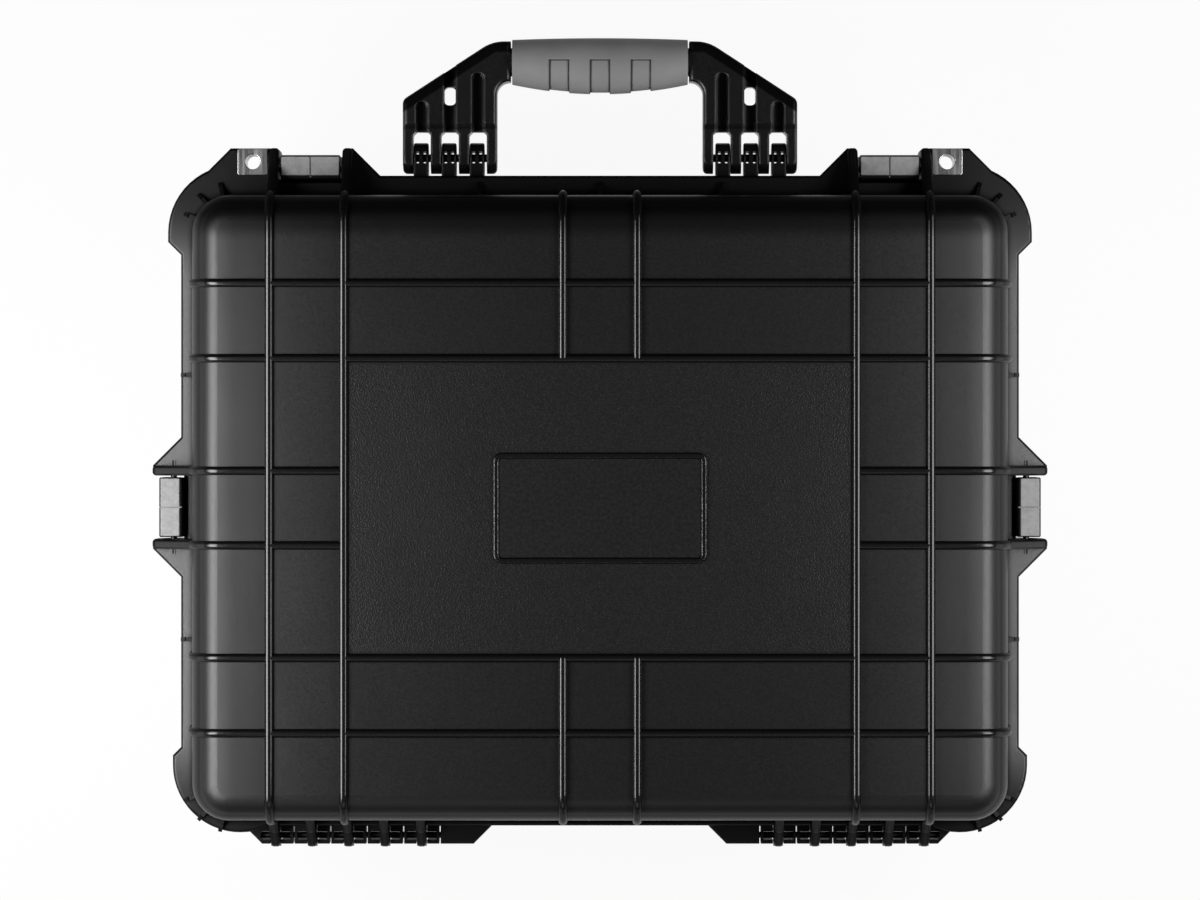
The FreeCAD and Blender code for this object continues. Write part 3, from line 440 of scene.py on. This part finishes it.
def shell_plastic():
    """Black moulded plastic: spark grain, smoother ribs, and a leather grain on the lid's middle panel.

    Painted shade makes the lid's steep walls and the slopes that face the front darker and less shiny than
    its upper faces.
    """
    # The plastic's own black, and a painted shade black that the share of painted light mixes towards, with
    # a faint mottle
    painted_shade_and_mottle_black = (0.0024, 0.0024, 0.0025)
    unshaded_black = (0.0062, 0.0062, 0.0064)
    base_share = 0.6
    base_rim_share = 0.4
    rib_gloss = 0.19
    leather_cells = 1150.0
    leather_depth = 0.0002
    spark_cells = 2600.0
    spark_depth = 0.00004
    wave_cells = 14.0
    wave_depth = 0.0008
    shader = Shader("shell_plastic")
    x = shader.axis(shader.place, "X")
    y = shader.math("SUBTRACT", shader.axis(shader.place, "Y"), middle_y)
    z = shader.axis(shader.place, "Z")
    normal_y = shader.axis(shader.normal, "Y")
    on_top = shader.spread(z, panel_z - level_edge, panel_z - panel_drop, 0.0, 1.0)
    on_rib = shader.spread(z, panel_z + rib_root, panel_z + level_edge, 0.0, 1.0)
    on_base = shader.spread(z, parting_z - level_edge, parting_z, 1.0, 0.0)
    on_rim = shader.spread(z, rim_top, rim_top + level_edge, 1.0, 0.0)
    outward = from_wall(shader, x, y)

    # Painted shade: a share by place that darkens the base colour and lowers the specular level
    clear = upward_share(shader, normal_y, z)
    clear = shader.math("MULTIPLY", clear, frontward_share(shader, normal_y, y, z))
    clear = shader.math("MULTIPLY", clear, rim_share(shader, y, on_rim, outward))
    # Painted shade on the base below the parting, darkest just below it
    base_painted_light = shader.spread(z, base_shade_low, base_shade_high, base_share, base_rim_share)
    clear = shader.math("MAXIMUM", clear, shader.math("MULTIPLY", on_base, base_painted_light))
    shader.tint(shader.math("MULTIPLY", shader.cloud(9.0, 0.85, 1.0), clear), painted_shade_and_mottle_black, unshaded_black)
    shader.shine(clear)
    gloss = shader.math("MULTIPLY", on_rib, -rib_gloss)
    shader.rough(shader.math("ADD", shader.grain(900.0, 0.37, 0.44), gloss))

    in_panel = shader.math("MULTIPLY", near_band(shader, x, inner_rib_x - rib_width / 2, panel_edge),
                           near_band(shader, y, inner_cross_y - rib_width / 2, panel_edge))
    in_panel = shader.math("MULTIPLY", in_panel, on_top)
    leather = shader.math("MULTIPLY", shader.cells(leather_cells), in_panel)
    off_rib = shader.math("SUBTRACT", 1.0, on_rib)
    spark = shader.math("MULTIPLY", shader.noise(spark_cells, 2.0), off_rib)
    wave = shader.noise(wave_cells, 1.0)
    shader.bump((soft_crown(shader, x, y, on_rim, outward), 1.0), (wave, wave_depth),
                (spark, spark_depth), (leather, leather_depth))
    return shader.material


def satin_plastic(name, low, high, roughness, wave_depth):
    """Smoother moulded plastic with a faint grain."""
    shader = Shader(name, Specular_IOR_Level=full_specular)
    shader.tint(shader.cloud(60.0, 0.0, 1.0), low, high)
    shader.rough(shader.grain(500.0, roughness - 0.04, roughness + 0.05))
    shader.bump((shader.noise(25.0, 1.0), wave_depth), (shader.noise(skin_cells, 2.0), skin_depth))
    return shader.material


def handle_plastic():
    """Black satin plastic of the handle: rounded edges, and painted shade on the bevels along the slopes
    and the step.
    """
    painted_shade_and_mottle_black = (0.002, 0.002, 0.0021)
    unshaded_black = (0.0062, 0.0062, 0.0064)
    slope_share = 0.1
    step_share = 0.45
    wave_depth = 0.0012
    shader = Shader("handle_plastic")
    size = shader.math("ABSOLUTE", shader.axis(shader.place, "X"))
    reach = shader.math("SUBTRACT", handle_y, shader.axis(shader.place, "Y"))
    run = arm_outer - arm_top_x
    rise = arm_top - arm_corner
    length = math.hypot(run, rise)
    across = shader.math("MULTIPLY", shader.math("SUBTRACT", arm_outer, size), rise / length)
    along = shader.math("MULTIPLY", shader.math("SUBTRACT", arm_corner, reach), run / length)
    from_slope = shader.math("ADD", across, along)
    from_top = shader.math("SUBTRACT", arm_top, reach)
    depth = shader.math("MINIMUM", from_slope, from_top)
    # Painted shade: the bevel along the arm's slopes and the band at the step get a darker colour and less
    # specular level
    on_face = shader.spread(depth, slope_width - slope_edge, slope_width, slope_share, 1.0)
    from_step = shader.math("ABSOLUTE", shader.math("SUBTRACT", reach, step_reach))
    off_step = shader.spread(from_step, step_half - slope_edge, step_half, step_share, 1.0)
    clear = shader.math("MULTIPLY", on_face, off_step)
    shader.tint(shader.math("MULTIPLY", shader.cloud(60.0, 0.7, 1.0), clear), painted_shade_and_mottle_black, unshaded_black)
    shader.shine(clear)
    shader.rough(shader.grain(500.0, 0.29, 0.37))
    shader.bump((shader.noise(18.0, 1.0), wave_depth), (shader.noise(skin_cells, 2.0), skin_depth),
                below=shader.rounded(handle_edge))
    return shader.material


def latch_plastic():
    """Latch plastic, with a blasted paler face on top of each arm."""
    black = (0.010, 0.010, 0.0105)
    blasted = (0.28, 0.28, 0.28)
    dent_depth = 0.00006
    blast_depth = 0.00002
    shader = Shader("latch_plastic", Specular_IOR_Level=full_specular)
    upward = shader.spread(shader.axis(shader.normal, "Z"), 0.96, 0.995, 0.0, 1.0)
    mottle = shader.spread(shader.noise(260.0, 4.0, 0.65), 0.25, 0.75, 0.75, 1.1)
    shader.tint(shader.math("MULTIPLY", upward, mottle), black, blasted)
    shader.rough(shader.spread(upward, 0.0, 1.0, 0.3, 0.5))
    shader.bump((shader.noise(300.0, 3.0), dent_depth), (shader.noise(2400.0, 2.0), blast_depth))
    return shader.material


def grip_rubber():
    """Grey soft rubber of the grip, with a painted shade line round each finger pad over a shallow groove.
    """
    # The shade grey is the colour of the painted shade line and the dark end of a faint mottle
    shade = (0.14, 0.14, 0.141)
    grey = (0.225, 0.225, 0.227)
    grain_depth = 0.00004
    pore_depth = 0.00003
    shader = Shader("grip_rubber", Specular_IOR_Level=0.35)
    size = shader.math("ABSOLUTE", shader.axis(shader.place, "X"))
    from_outer = shader.math("ABSOLUTE", shader.math("SUBTRACT", size, pad_pitch))
    from_pad = shader.math("MINIMUM", size, from_outer)
    beyond_side = shader.math("SUBTRACT", from_pad, pad_half)
    beyond_top = shader.math("SUBTRACT", handle_y - pad_top, shader.axis(shader.place, "Y"))
    from_edge = shader.math("ABSOLUTE", shader.math("MAXIMUM", beyond_side, beyond_top))
    # Painted shade: a dark line round each pad, over the bumped groove
    line = shader.spread(from_edge, 0.0, pad_line, 1.0, 0.0)
    off_line = shader.math("SUBTRACT", 1.0, line)
    shader.tint(shader.math("MULTIPLY", shader.cloud(40.0, 0.75, 1.0), off_line), shade, grey)
    shader.rough(shader.grain(700.0, 0.5, 0.62))
    shader.bump((line, -pad_groove), (shader.noise(1800.0, 3.0), grain_depth),
                (shader.cells(900.0), pore_depth))
    return shader.material


def dark_rubber():
    """Black seal rubber."""
    low = (0.012, 0.012, 0.012)
    high = (0.022, 0.022, 0.022)
    grain_depth = 0.00004
    shader = Shader("gasket_rubber", Specular_IOR_Level=0.3)
    shader.tint(shader.noise(80.0, 3.0), low, high)
    shader.rough(shader.grain(400.0, 0.6, 0.75, 2.0))
    shader.bump((shader.noise(1500.0, 3.0), grain_depth))
    return shader.material


def brushed_steel(name, low, high, roughness, stretch):
    """Brushed steel with fine lines and a few marks."""
    line_depth = 0.00002
    mark_depth = 0.00008
    shader = Shader(name, Metallic=1.0)
    lines = shader.noise(400.0, 4.0, 0.6, stretch)
    shader.tint(lines, low, high)
    shader.rough(shader.spread(lines, grain_low_share, grain_high_share,
                               roughness - 0.06, roughness + 0.08))
    shader.bump((lines, line_depth), (shader.noise(120.0, 2.0), mark_depth))
    return shader.material


def foam_material():
    """Charcoal open-cell foam, with painted shade in the pits of its pores."""
    low = (0.035, 0.035, 0.038)
    high = (0.062, 0.062, 0.066)
    pore_depth = 0.0009
    grain_depth = 0.0004
    shader = Shader("foam", Specular_IOR_Level=0.1, Roughness=0.95)
    pores = shader.cells(420.0, "F1")
    # Painted shade: the colour is darker in the pits of the pore bump
    shader.tint(shader.spread(pores, 0.2, 0.8, 0.0, 1.0), low, high)
    shader.bump((pores, pore_depth), (shader.noise(900.0, 3.0), grain_depth))
    return shader.material


def dress_solids():
    """Gives every solid the material of its slot."""
    black = (0.009, 0.009, 0.0095)
    soot = (0.013, 0.013, 0.0135)
    plate_low_tint = (0.006, 0.006, 0.0062)
    plate_high_tint = (0.0068, 0.0068, 0.007)
    bright_low = (0.42, 0.42, 0.42)
    bright_high = (0.62, 0.62, 0.61)
    dark_low = (0.05, 0.05, 0.052)
    dark_high = (0.09, 0.09, 0.092)
    along_y = (1.0, 0.06, 1.0)
    along_x = (0.06, 1.0, 1.0)
    valve_wave = 0.0004
    plate_wave = 0.0001
    materials = {
        "shell_plastic": shell_plastic(),
        "latch_plastic": latch_plastic(),
        "handle_plastic": handle_plastic(),
        "valve_plastic": satin_plastic("valve_plastic", black, soot, 0.4, valve_wave),
        "plate_plastic": satin_plastic("plate_plastic", plate_low_tint, plate_high_tint, 0.4, plate_wave),
        "grip_rubber": grip_rubber(),
        "gasket_rubber": dark_rubber(),
        "stainless": brushed_steel("stainless", bright_low, bright_high, 0.3, along_y),
        "pin_steel": brushed_steel("pin_steel", dark_low, dark_high, 0.35, along_x),
        "foam": foam_material(),
    }
    for part in frame["record"]["subparts"]:
        mesh = nodes[part["node"]].data
        mesh.materials.clear()
        mesh.materials.append(materials[part["material_slot"]])
    return materials


# Foam: pick-out columns round an emptied pocket in the base, and an egg-crate pad in the lid
column_pitch = 0.02
column_slit = 0.0007
column_edge = 0.0016
column_crown = 0.0005
column_corner = 0.019
column_draft = math.radians(1.2)
edge_share = 0.35
widest_end_share = 1.5
corner_steps = 6
pocket_half_x = 0.15
pocket_half_y = 0.11
valve_room = 0.018
crate_pitch = 0.038
crate_depth = 0.014
foam_voxel = 0.004
foam_weld = 0.00001


def foam_copy(name, node):
    """Evenly meshed copy of a foam solid."""
    mesh = nodes[node].data.copy()
    mesh.materials.clear()
    piece = bpy.data.objects.new(name, mesh)
    bpy.context.scene.collection.objects.link(piece)
    weld = piece.modifiers.new("weld", "WELD")
    weld.merge_threshold = foam_weld
    remesh = piece.modifiers.new("remesh", "REMESH")
    remesh.mode = "VOXEL"
    remesh.voxel_size = foam_voxel
    remesh.use_smooth_shade = True
    graph = bpy.context.evaluated_depsgraph_get()
    even = bpy.data.meshes.new_from_object(piece.evaluated_get(graph))
    piece.modifiers.clear()
    piece.data = even
    return piece


def settle(piece, node, body, material):
    """Puts a foam piece in its solid's place."""
    piece.data.materials.clear()
    piece.data.materials.append(material)
    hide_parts(node)
    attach(piece, body)


def lid_foam(material):
    """Convoluted foam in the lid: rows of soft peaks that point into the case."""
    piece = foam_copy("lid_foam_crate", "lid_foam")
    low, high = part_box("lid_foam")
    turn = 2 * math.pi / crate_pitch
    for vertex in piece.data.vertices:
        point = vertex.co
        depth = (point.z - low.z) / (high.z - low.z)
        wave = 0.5 - 0.5 * math.cos(turn * point.x) * math.cos(turn * (point.y - middle_y))
        point.z += crate_depth * wave * max(0.0, 1 - depth) ** 2
    settle(piece, "lid_foam", "lid", material)


def base_foam_floor(material):
    """Soft pad on the base's floor."""
    piece = foam_copy("base_foam_floor", "base_foam_pad")
    settle(piece, "base_foam_pad", "base", material)


def column_lines(half, pocket_half):
    """Cuts between the foam's columns along one axis, in line with the pocket's sides."""
    count = round(2 * pocket_half / column_pitch)
    lines = [-pocket_half + index * column_pitch for index in range(count + 1)]
    while lines[-1] + widest_end_share * column_pitch < half:
        lines = [lines[0] - column_pitch, *lines, lines[-1] + column_pitch]
    return [-half, *lines, half]


def column_plan(low_x, high_x, low_y, high_y, half_x, half_y):
    """Outline of one column, rounded where it fills a corner of the block."""
    corners = []
    for x, y in ((low_x, low_y), (high_x, low_y), (high_x, high_y), (low_x, high_y)):
        if abs(x) < half_x or abs(y) < half_y:
            corners.append((x, y))
            continue
        way_x = math.copysign(1, x)
        way_y = math.copysign(1, y)
        arc = []
        for step in range(corner_steps + 1):
            turn = step / corner_steps * math.pi / 2
            arc.append((x - way_x * column_corner * (1 - math.cos(turn)),
                        y - way_y * column_corner * (1 - math.sin(turn))))
        corners += arc if way_x * way_y > 0 else arc[::-1]
    return corners


def foam_column(work, plan, low_z, high_z, lean):
    """One foam column with a soft rounded top, narrower at its foot where it follows the shell's draft."""
    middle = Vector((sum(x for x, _ in plan) / len(plan), sum(y for _, y in plan) / len(plan)))
    rings = []
    for level, inset, drawn in ((low_z, 0.0, lean), (high_z - column_edge, 0.0, 1.0),
                                (high_z - edge_share * column_edge, edge_share, 1.0), (high_z, 1.0, 1.0)):
        ring = []
        for x, y in plan:
            toward = middle - Vector((x, y))
            toward.normalize()
            place = Vector((x, y)) + toward * (column_slit / 2 + inset * column_edge)
            ring.append(work.verts.new((place.x * drawn, place.y * drawn + middle_y, level)))
        rings.append(ring)
    count = len(plan)
    for below, above in zip(rings, rings[1:]):
        for index in range(count):
            after = (index + 1) % count
            work.faces.new((below[index], below[after], above[after], above[index]))
    crown = work.verts.new((middle.x, middle.y + middle_y, high_z + column_crown))
    for index in range(count):
        work.faces.new((rings[-1][index], rings[-1][(index + 1) % count], crown))
    work.faces.new(rings[0][::-1])


def base_foam_columns(material):
    """Foam block of the base as pick-out columns around an emptied pocket, lower beside the valve."""
    low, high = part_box("base_foam_block")
    valve_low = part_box("valve_nut")[0]
    half_x = (high.x - low.x) / 2
    half_y = (high.y - low.y) / 2
    lean = 1 - column_draft * (high.z - low.z) / half_y
    x_lines = column_lines(half_x, pocket_half_x)
    y_lines = column_lines(half_y, pocket_half_y)
    work = bmesh.new()
    for low_x, high_x in zip(x_lines, x_lines[1:]):
        for low_y, high_y in zip(y_lines, y_lines[1:]):
            mid_x = (low_x + high_x) / 2
            mid_y = (low_y + high_y) / 2
            if abs(mid_x) < pocket_half_x and abs(mid_y) < pocket_half_y:
                continue
            beside_valve = low_y <= -half_y and low_x < valve_room and high_x > -valve_room
            top = valve_low.z - valve_room if beside_valve else high.z - column_crown
            plan = column_plan(low_x, high_x, low_y, high_y, half_x, half_y)
            foam_column(work, plan, low.z, top, lean)
    mesh = bpy.data.meshes.new("base_foam_columns")
    work.to_mesh(mesh)
    work.free()
    piece = bpy.data.objects.new("base_foam_columns", mesh)
    bpy.context.scene.collection.objects.link(piece)
    settle(piece, "base_foam_block", "base", material)


make_camera()
make_lights()
make_stage()
slots = dress_solids()
lid_foam(slots["foam"])
base_foam_floor(slots["foam"])
base_foam_columns(slots["foam"])
